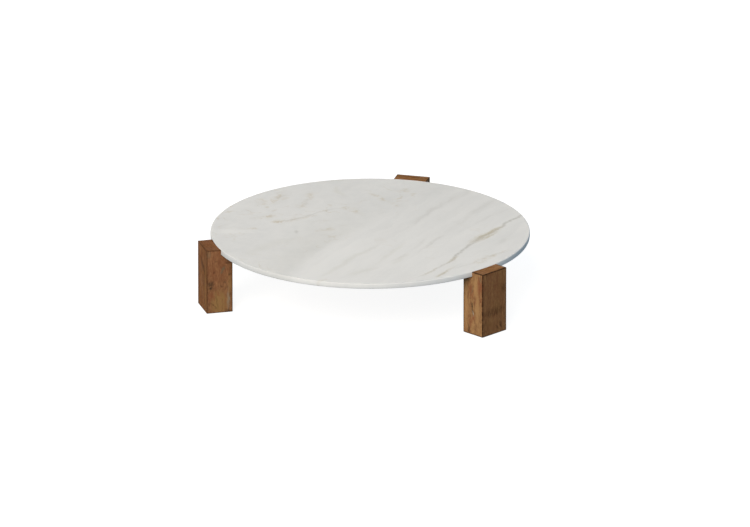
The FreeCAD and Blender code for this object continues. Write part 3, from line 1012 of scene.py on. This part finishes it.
def join_bands(shape, bands):
    """Faces between closed rings of points, which may be single points."""
    for low, high in zip(bands, bands[1:]):
        count = max(len(low), len(high))
        for k in range(count):
            corners = [(low, k), (low, k + 1), (high, k + 1), (high, k)]
            unique = list(dict.fromkeys(band[place % len(band)] for band, place in corners))
            if len(unique) > 2:
                shape.faces.new(unique)


def rings(shape, profile, sides):
    """Turns a profile of (radius, z) points about z. Points on the axis close the shape."""
    join_bands(shape, [ring(shape, radius, z, sides) for radius, z in profile])


def spindle(shape, sections, sides):
    """A closed sleeve over (middle, half axis, half axis) sections, drawn to a point at both ends."""
    first, *between, last = sections
    bands = [[shape.verts.new(first[0])]]
    bands += [oval(shape, *section, sides) for section in between]
    bands.append([shape.verts.new(last[0])])
    join_bands(shape, bands)


def prism(shape, outline, start, run):
    """A straight prism over a flat outline, from a start along a run."""
    floor = [shape.verts.new(start + point) for point in outline]
    roof = [shape.verts.new(start + point + run) for point in outline]
    shape.faces.new(reversed(floor))
    shape.faces.new(roof)
    for k in range(len(outline)):
        after = (k + 1) % len(outline)
        shape.faces.new((floor[k], floor[after], roof[after], roof[k]))


def carve(piece, cutters):
    """Cuts shapes out of a piece for good."""
    for cutter in cutters:
        cut = piece.modifiers.new(cutter.name, "BOOLEAN")
        cut.operation = "DIFFERENCE"
        cut.solver = "MANIFOLD"
        cut.object = cutter
    graph = bpy.context.evaluated_depsgraph_get()
    carved = bpy.data.meshes.new_from_object(piece.evaluated_get(graph))
    piece.modifiers.clear()
    old = piece.data
    carved.name = old.name
    piece.data = carved
    bpy.data.meshes.remove(old)
    for cutter in cutters:
        bpy.data.meshes.remove(cutter.data)


def leg_frame(side):
    """Where a leg's own coordinates lie: x along its width, y outward, z up from the floor."""
    turn = 2 * math.pi * SIDES.index(side) / len(SIDES)
    outward = Matrix.Translation((0, leg_centre.y - table_axis.y, 0))
    return Matrix.Translation(table_axis) @ Matrix.Rotation(turn, 4, "Z") @ outward


def stone_profile(settings):
    """Half of the disc's section: flat faces, two small arrises and a softly crowned flank."""
    radius = settings.diameter / 2
    arris = settings.arris
    half = (stone_high.z - stone_low.z) / 2
    tilt = settings.crown
    crown = arris + (half - arris) / math.sin(tilt)
    arris_radius = radius - crown + (crown - arris) * math.cos(tilt)
    steps = 6
    ring_shares = (0.0, 0.3, 0.6, 0.85)
    flat = [(radius * part, half) for part in ring_shares] + [(arris_radius - arris, half)]
    upper = arc(arris_radius, half - arris, arris, math.pi / 2, tilt, steps)
    flank = arc(radius - crown, 0.0, crown, tilt, 0.0, steps)[1:-1]
    above = flat + upper + flank
    below = [(r, -z) for r, z in reversed(above)]
    middle = stone_low.z + half
    return [(r, z + middle) for r, z in above + [(radius, 0.0)] + below]


def rows(half, arris, step):
    """Places of the grid lines across a block: even over the face, closer round the arrises."""
    core = half - arris
    count = round(2 * core / step)
    inner = [core * (2 * k / count - 1) for k in range(count + 1)]
    lip_turns = (15, 30, 45)
    lips = [core + arris * math.tan(math.radians(turn)) for turn in lip_turns]
    return [-lip for lip in reversed(lips)] + inner + lips


def worn_block(shape, settings, seed):
    """A block with rounded arrises, faintly uneven faces and bruised edges, all within its own size."""
    arris = settings.arris
    core = leg_half - Vector((arris, arris, arris))
    lines = [rows(half, arris, settings.step) for half in leg_half]
    bruise_reach = 4 * arris
    bruise_bias = 0.05
    points = {}

    def point(key):
        if key not in points:
            raw = Vector(line[k] for line, k in zip(lines, key))
            inside = Vector(max(-c, min(c, r)) for c, r in zip(core, raw))
            normal = (raw - inside).normalized()
            place = inside + normal * arris
            gaps = sorted(half - abs(p) for half, p in zip(leg_half, place))
            edge = max(0.0, 1 - gaps[1] / bruise_reach)
            bruise = max(0.0, noise.noise(place * BRUISE_SCALE + seed) + bruise_bias) * settings.wear * edge
            wave = (1 + noise.noise(place * WAVE_SCALE + seed)) / 2 * settings.wave
            place -= normal * (bruise + wave)
            points[key] = shape.verts.new(place + UP * leg_centre.z)
        return points[key]

    for axis in range(3):
        b, c = (axis + 1) % 3, (axis + 2) % 3
        ends = (0, len(lines[axis]) - 1)
        for fixed, i, j in product(ends, range(len(lines[b]) - 1), range(len(lines[c]) - 1)):
            corners = []
            for di, dj in ((0, 0), (1, 0), (1, 1), (0, 1)):
                key = {axis: fixed, b: i + di, c: j + dj}
                corners.append(point((key[0], key[1], key[2])))
            shape.faces.new(corners)


def crack_cutter(shape, face, crack, seed):
    """A slender spindle along a crack's points, with a wandering line and frayed sides."""
    normal = FACE_NORMALS[face]
    points = [face_place(face, across, up) for across, up in crack.points]
    width = crack.width * MILLIMETRE
    depth = crack.depth * MILLIMETRE
    wander = 0.7 * width
    fray = 0.35
    bluntness = 0.6
    sides = 8
    steps = 28
    sections = []
    for k in range(steps + 1):
        part = k / steps * (len(points) - 1)
        first = min(int(part), len(points) - 2)
        run = points[first + 1] - points[first]
        middle = points[first] + run * (part - first)
        across = run.cross(normal).normalized()
        middle += across * (wander * noise.noise(middle * WANDER_SCALE + seed))
        ragged = 1 + fray * noise.noise(middle * FRAY_SCALE + seed)
        swell = math.sin(math.pi * k / steps) ** bluntness * ragged
        sections.append((middle, across * (width * swell), normal * (depth * swell)))
    spindle(shape, sections, sides)


def notch_cutter(shape, stone, timber):
    """The room for the stone's edge on the inner side of a leg."""
    radius = stone.diameter / 2 + timber.rim_gap
    middle = table_axis.y - leg_centre.y
    reach = math.asin((leg_half.x + OVERRUN) / radius)
    steps = 48
    rim = arc(0.0, middle, radius, math.pi / 2 - reach, math.pi / 2 + reach, steps)
    corners = [(x, -leg_half.y - OVERRUN) for x, _ in (rim[-1], rim[0])]
    outline = [Vector((x, y, 0)) for x, y in rim + corners]
    prism(shape, outline, UP * ledge_z, UP * (table_top - ledge_z + OVERRUN))


def seat_cutter(shape):
    """The shallow seat of an arm's end plate in the inner face of a leg."""
    gap = 0.5 * MILLIMETRE
    corner = 6 * MILLIMETRE
    steps = 6
    outline = cradle(plate_high.x + gap, plate_low.z - gap, ledge_z + OVERRUN, corner, steps)
    depth = plate_high.y - plate_low.y
    prism(shape, outline, Vector((0, -leg_half.y - OVERRUN, 0)), Vector((0, depth + OVERRUN, 0)))


def insert_cutter(shape):
    """The four holes for the inserts that hold the end plate's bolts."""
    radius = 7 * MILLIMETRE
    outline = [Vector((math.cos(turn), 0, math.sin(turn))) * radius for turn in turns(HOLE_SIDES)]
    overlap = MILLIMETRE
    start = insert_low.y - leg_centre.y - overlap
    run = Vector((0, insert_high.y - insert_low.y + overlap, 0))
    across = (insert_low.x + radius, insert_high.x - radius)
    heights = (insert_low.z + radius, insert_high.z - radius)
    for x, z in product(across, heights):
        prism(shape, outline, Vector((x, start, z)), run)


def bore_cutter(shape):
    """The stepped bore for a levelling foot: its pad, its socket's flange and sleeve, and its screw."""
    pad_radius = (pad_high.x - pad_low.x) / 2 + 2 * MILLIMETRE
    flange_radius = (socket_high.x - socket_low.x) / 2
    flange_top = socket_low.z + 2 * MILLIMETRE
    sleeve_radius = 8 * MILLIMETRE
    screw_radius = 5.1 * MILLIMETRE
    screw_top = stud_high.z + 4 * MILLIMETRE
    radii = (pad_radius, flange_radius, sleeve_radius, screw_radius)
    tops = (socket_low.z, flange_top, socket_high.z, screw_top)
    z = leg_low.z - OVERRUN
    profile = [(0, z)]
    for radius, top in zip(radii, tops):
        profile += [(radius, z), (radius, top)]
        z = top
    profile.append((0, z))
    rings(shape, profile, BORE_SIDES)


def leg_cutters(side, stone, timber):
    """What is cut out of a leg: the stone's notch, the plate's seat, four holes, a foot's bore and cracks."""
    shapes = {name: bmesh.new() for name in ("notch", "seat", "inserts", "bore", "cracks")}
    notch_cutter(shapes["notch"], stone, timber)
    seat_cutter(shapes["seat"])
    insert_cutter(shapes["inserts"])
    bore_cutter(shapes["bore"])
    seed = Vector((SIDES.index(side) * 5.3, 1.7, 0.4))
    for face, cracks in CRACKS[side].items():
        for crack in cracks:
            crack_cutter(shapes["cracks"], face, crack, seed)
    return [new_piece(f"{name}_{side}", shape) for name, shape in shapes.items()]


def weld_bead(shape, settings):
    """A rippled bead down one side of an arm's end, under it and up the other, in a leg's coordinates."""
    corner = 4 * MILLIMETRE
    corner_steps = 5
    steps_per_ripple = 5
    sides = 10
    ripple_share = 0.2
    lump_share = 0.08
    end_share = 0.25
    taper = settings.bead / 3
    top = arm_high.z - 2 * settings.bead
    path = cradle((arm_high.x - arm_low.x) / 2, arm_low.z, top, corner, corner_steps)
    spans = [(b - a).length for a, b in zip(path, path[1:])]
    total = sum(spans)
    steps = round(total / settings.ripple * steps_per_ripple)
    into = Vector((0, 1, 0))
    sections = []
    for k in range(steps + 1):
        here = total * k / steps
        left = here
        index = 0
        while index < len(spans) - 1 and left > spans[index]:
            left -= spans[index]
            index += 1
        run = (path[index + 1] - path[index]).normalized()
        middle = path[index] + run * left - into * leg_half.y
        phase = here / settings.ripple % 1.0
        rough = 1 - ripple_share * (1 - phase) + lump_share * noise.noise(middle * LUMP_SCALE)
        radius = settings.bead * rough * min(1.0, end_share + min(here, total - here) / taper)
        sections.append((middle, into * radius, run.cross(into) * radius))
    spindle(shape, sections, sides)


def threaded_screw(shape, settings):
    """A levelling screw on its own axis: a round head below and a threaded shank with a chamfered tip."""
    radius = 5 * MILLIMETRE
    head = (stud_high.x - stud_low.x) / 2
    edge = 0.4 * MILLIMETRE
    shoulder = stud_low.z + 5 * MILLIMETRE
    relief = shoulder + 2.5 * MILLIMETRE
    tip = stud_high.z
    chamfer = MILLIMETRE
    pitch = settings.thread_pitch
    bands_per_turn = 6
    step = pitch / bands_per_turn
    crest = 1.25
    slope = 3.0
    core = radius - settings.thread_depth
    plain = [
        (0, stud_low.z),
        (head - edge, stud_low.z),
        (head, stud_low.z + edge),
        (head, shoulder - edge),
        (head - edge, shoulder),
        (core, shoulder),
        (core, relief),
    ]
    bands = [ring(shape, plain_radius, z, SCREW_SIDES) for plain_radius, z in plain]
    for k in range(1, int((tip - relief) / step) + 1):
        z = relief + k * step
        limit = radius - max(0.0, z - (tip - chamfer))
        start = min(1.0, (z - relief) / pitch)
        band = []
        for turn in turns(SCREW_SIDES):
            phase = (z / pitch - turn / (2 * math.pi)) % 1.0
            flank = min(1.0, max(0.0, crest - abs(phase - 0.5) * slope)) * start
            reach = min(limit, core + settings.thread_depth * flank)
            band.append(shape.verts.new((reach * math.cos(turn), reach * math.sin(turn), z)))
        bands.append(band)
    bands.append(ring(shape, 0, tip, SCREW_SIDES))
    join_bands(shape, bands)


def key_cutter(name):
    """The hexagon socket for a wrench in a levelling screw's head, its corners between the head's facets."""
    across_flats = 6 * MILLIMETRE
    depth = 3.5 * MILLIMETRE
    reach = across_flats / math.sqrt(3)
    half_facet = math.pi / SCREW_SIDES
    outline = [Vector((math.cos(turn), math.sin(turn), 0)) * reach for turn in turns(6, half_facet)]
    shape = bmesh.new()
    prism(shape, outline, UP * (stud_low.z - OVERRUN), UP * (OVERRUN + depth))
    return new_piece(name, shape)


class Builds:
    """What every operator of this table shares."""

    bl_options = {"REGISTER", "UNDO"}


class ROUNDTABLE_OT_stone_top(Builds, bpy.types.Operator):
    """Turn the stone disc and give it its clouds and veins"""

    bl_idname = "round_table.stone_top"
    bl_label = "Stone Top"

    def execute(self, context):
        settings = context.scene.round_table_stone
        shape = bmesh.new()
        rings(shape, stone_profile(settings), DISC_SIDES)
        shape.transform(Matrix.Translation(table_axis))
        disc = new_piece("honed_stone_disc", shape, stone_finish(settings))
        settle(disc, "table", "stone", "stone_top")
        return {"FINISHED"}


class ROUNDTABLE_OT_block_legs(Builds, bpy.types.Operator):
    """Shape the three timber blocks with their notches, bores, cracks and worn edges"""

    bl_idname = "round_table.block_legs"
    bl_label = "Block Legs"

    def execute(self, context):
        stone = context.scene.round_table_stone
        timber = context.scene.round_table_timber
        for number, side in enumerate(SIDES, start=1):
            seed = Vector((2.9, 0.7, 4.1)) * number
            shape = bmesh.new()
            worn_block(shape, timber, seed)
            leg = new_piece(f"timber_block_{side}", shape, timber_finish(side, timber))
            carve(leg, leg_cutters(side, stone, timber))
            sharpen(leg.data, SMOOTH_BELOW)
            leg.matrix_world = leg_frame(side)
            settle(leg, "table", "timber", f"leg_{side}")
        return {"FINISHED"}


class ROUNDTABLE_OT_steel_frame(Builds, bpy.types.Operator):
    """Coat the arms, end plates and hub plate that tie the legs together"""

    bl_idname = "round_table.steel_frame"
    bl_label = "Steel Frame"

    def execute(self, context):
        settings = context.scene.round_table_fittings
        nodes = ["hub_plate"] + each_side("arm", "end_plate")
        dress(nodes, fitting_finish("Powder Coat", settings), settings.edge)
        return {"FINISHED"}


class ROUNDTABLE_OT_welds(Builds, bpy.types.Operator):
    """Lay the rippled welds between the arms and their end plates"""

    bl_idname = "round_table.welds"
    bl_label = "Welds"

    def execute(self, context):
        settings = context.scene.round_table_fittings
        for side in SIDES:
            shape = bmesh.new()
            weld_bead(shape, settings)
            shape.transform(leg_frame(side))
            weld = new_piece(f"weld_{side}", shape, fitting_finish("Powder Coat", settings))
            settle(weld, "table", "frame_steel")
        return {"FINISHED"}


class ROUNDTABLE_OT_fasteners(Builds, bpy.types.Operator):
    """Plate the bolts, washers and nuts, and finish the brass inserts"""

    bl_idname = "round_table.fasteners"
    bl_label = "Fasteners"

    def execute(self, context):
        settings = context.scene.round_table_fittings
        plated = ["hub_bolts", "hub_washers", "hub_nuts"] + each_side("leg_bolts", "leg_washers")
        dress(plated, fitting_finish("Zinc Plate", settings))
        dress(each_side("leg_inserts"), fitting_finish("Turned Brass", settings))
        return {"FINISHED"}


class ROUNDTABLE_OT_cushions(Builds, bpy.types.Operator):
    """Finish the cushion pads under the stone and the plugs in the arms"""

    bl_idname = "round_table.cushions"
    bl_label = "Cushions and Plugs"

    def execute(self, context):
        settings = context.scene.round_table_fittings
        pads = each_side("ledge_pads", "arm_pads")
        dress(pads, fitting_finish("Silicone", settings), settings.edge)
        dress(each_side("arm_plug"), fitting_finish("Moulded Plug", settings), settings.edge)
        return {"FINISHED"}


class ROUNDTABLE_OT_levelling_feet(Builds, bpy.types.Operator):
    """Cut the levelling screws' threads and finish the pads, rings and sockets of the feet"""

    bl_idname = "round_table.levelling_feet"
    bl_label = "Levelling Feet"

    def execute(self, context):
        settings = context.scene.round_table_fittings
        zinc = fitting_finish("Zinc Plate", settings)
        for side in SIDES:
            shape = bmesh.new()
            threaded_screw(shape, settings)
            screw = new_piece(f"levelling_screw_{side}", shape, zinc)
            carve(screw, [key_cutter(f"key_{side}")])
            sharpen(screw.data, THREAD_SMOOTH_BELOW)
            screw.data.transform(leg_frame(side))
            settle(screw, f"stud_{side}", "zinc_steel", f"foot_stud_{side}")
        dress(each_side("foot_ring"), zinc)
        dress(each_side("foot_socket"), fitting_finish("Turned Brass", settings))
        dress(each_side("foot_pad"), fitting_finish("Moulded Nylon", settings))
        return {"FINISHED"}


class ROUNDTABLE_OT_stage(Builds, bpy.types.Operator):
    """Set up the pale floor, the soft light and the camera"""

    bl_idname = "round_table.stage"
    bl_label = "Stage"

    def execute(self, context):
        settings = context.scene.round_table_stage
        context.scene.view_settings.view_transform = "Standard"
        lay_floor(settings)
        light_stage(context.scene, settings)
        aim_camera(context.scene, settings)
        return {"FINISHED"}


def seen(board):
    """1 for what the camera sees, straight, in a reflection or through glass, and 0 for other rays."""
    rays = board.add("ShaderNodeLightPath", {})
    return reduce(Signal.larger, board.outputs(rays, "Is Camera Ray", "Is Glossy Ray", "Is Transmission Ray"))


def lay_floor(settings):
    """A wide pale floor that reads as white, keeps the table's shadow and is clear from below."""
    half = settings.floor_size / 2
    shape = bmesh.new()
    corners = ((-half, -half), (half, -half), (half, half), (-half, half))
    shape.faces.new([shape.verts.new((x, y, 0)) for x, y in corners])
    material, board, shader = new_finish("Pale Floor")
    tree = material.node_tree
    tree.nodes.remove(shader)
    shown = seen(board)
    bright = board.mix(shown, settings.floor, (settings.floor_shade,) * 3)
    paint = board.node("ShaderNodeBsdfDiffuse", {"Color": bright})
    glow = board.node("ShaderNodeEmission", {"Color": WHITE, "Strength": shown * settings.floor_glow})
    lit = board.node("ShaderNodeAddShader", {0: paint, 1: glow})
    clear = board.node("ShaderNodeBsdfTransparent", {})
    behind = board.node("ShaderNodeNewGeometry", {}, "Backfacing") * shown
    surface = board.node("ShaderNodeMixShader", {0: behind, 1: lit, 2: clear})
    board.feed(tree.nodes["Material Output"].inputs["Surface"], surface)
    floor = new_piece("pale_floor", shape, material)
    if floor.data.polygons[0].normal.z < 0:
        floor.data.flip_normals()


def direction(azimuth, elevation):
    """The way towards a place seen at an azimuth from +X and a height over the horizon."""
    flat = math.cos(elevation)
    return Vector((flat * math.cos(azimuth), flat * math.sin(azimuth), math.sin(elevation)))


def light_stage(scene, settings):
    """A soft warm key light from the front, a fill from behind and a cool even sky, seen as plain white."""
    for name in ("key", "fill"):
        light = bpy.data.lights.new(name, "SUN")
        light.energy = getattr(settings, f"{name}_strength")
        light.color = getattr(settings, f"{name}_tint")
        light.angle = settings.spread
        lamp = bpy.data.objects.new(name, light)
        scene.collection.objects.link(lamp)
        towards = direction(getattr(settings, f"{name}_azimuth"), getattr(settings, f"{name}_elevation"))
        lamp.rotation_euler = towards.to_track_quat("Z", "Y").to_euler()
    world = bpy.data.worlds.new("Sky")
    world.use_nodes = True
    board = Board(world.node_tree)
    background = world.node_tree.nodes["Background"]
    board.feed(background.inputs["Color"], board.mix(seen(board), settings.sky, WHITE))
    background.inputs["Strength"].default_value = 1.0
    scene.world = world


def aim_camera(scene, settings):
    """A far camera with a long lens, so that the view is as good as parallel."""
    camera = bpy.data.cameras.new("Camera")
    camera.lens = settings.lens
    distance = settings.view_width * camera.lens / camera.sensor_width
    camera.clip_end = distance * 2
    back = direction(settings.azimuth - math.pi / 2, settings.elevation)
    turn = back.to_track_quat("Z", "Y")
    right = turn @ Vector((1, 0, 0))
    up = turn @ Vector((0, 1, 0))
    target = table_axis + UP * table_top + right * settings.shift_right - up * settings.shift_down
    stand = bpy.data.objects.new("Camera", camera)
    stand.rotation_euler = turn.to_euler()
    stand.location = target + back * distance
    scene.collection.objects.link(stand)
    scene.camera = stand


OPERATORS = (
    ROUNDTABLE_OT_stone_top,
    ROUNDTABLE_OT_block_legs,
    ROUNDTABLE_OT_steel_frame,
    ROUNDTABLE_OT_welds,
    ROUNDTABLE_OT_fasteners,
    ROUNDTABLE_OT_cushions,
    ROUNDTABLE_OT_levelling_feet,
    ROUNDTABLE_OT_stage,
)
SETTINGS = {
    "round_table_stone": StoneSettings,
    "round_table_timber": TimberSettings,
    "round_table_fittings": FittingSettings,
    "round_table_stage": StageSettings,
}


class ROUNDTABLE_PT_panel(bpy.types.Panel):
    """The table's settings and the steps that build it"""

    bl_idname = "ROUNDTABLE_PT_panel"
    bl_label = "Round Table"
    bl_space_type = "VIEW_3D"
    bl_region_type = "UI"
    bl_category = "Round Table"

    def draw(self, context):
        for operator in OPERATORS:
            self.layout.operator(operator.bl_idname)
        for name, group in SETTINGS.items():
            box = self.layout.box()
            box.label(text=group.__doc__)
            for key in group.__annotations__:
                box.prop(getattr(context.scene, name), key)


def register():
    """Registers the settings, the operators and the panel."""
    for group in (*SETTINGS.values(), *OPERATORS, ROUNDTABLE_PT_panel):
        bpy.utils.register_class(group)
    for name, group in SETTINGS.items():
        setattr(bpy.types.Scene, name, PointerProperty(type=group))


def unregister():
    """Takes back what register added."""
    for name in SETTINGS:
        delattr(bpy.types.Scene, name)
    for group in reversed((*SETTINGS.values(), *OPERATORS, ROUNDTABLE_PT_panel)):
        bpy.utils.unregister_class(group)


def main():
    """Builds the table piece by piece."""
    register()
    for operator in OPERATORS:
        step = operator.bl_idname.split(".")[1]
        getattr(bpy.ops.round_table, step)()


if __name__ == "__main__":
    main()
